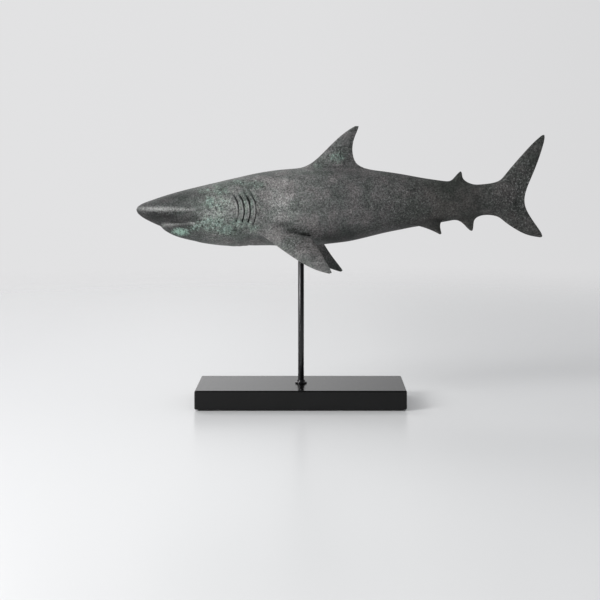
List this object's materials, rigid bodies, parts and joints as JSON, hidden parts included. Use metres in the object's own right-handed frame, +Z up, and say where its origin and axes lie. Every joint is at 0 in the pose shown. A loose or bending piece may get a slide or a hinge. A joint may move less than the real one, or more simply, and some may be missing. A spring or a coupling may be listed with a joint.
{
  "type": "shark figurine",
  "caption": "Cast shark sculpture with gill slits and swept fins, held level on a slim rod over a low rectangular plinth.",
  "frame": {"origin": "middle of the felt's underside, where it meets the table, on the rod's axis", "axes": "+Z up along the rod, the snout points to -X and the tail to +X, +Y to the far side of the shark"},
  "size_m": [0.5552, 0.1468, 0.3762],
  "materials": {
    "shark_skin": "cold-cast resin with a mottled dark patina and green verdigris",
    "brass_insert": "turned brass",
    "black_steel": "black paint, satin",
    "lacquered_base": "glossy black lacquer",
    "zinc_steel": "zinc plated",
    "felt": "thin black felt"
  },
  "bodies": {
    "root": {"shark": "shark_skin", "threaded_insert": "brass_insert", "support_rod": "black_steel", "rod_collar": "black_steel", "base": "lacquered_base", "washer": "zinc_steel", "retaining_nut": "zinc_steel", "felt_sheet": "felt"}
  },
  "joints": []
}
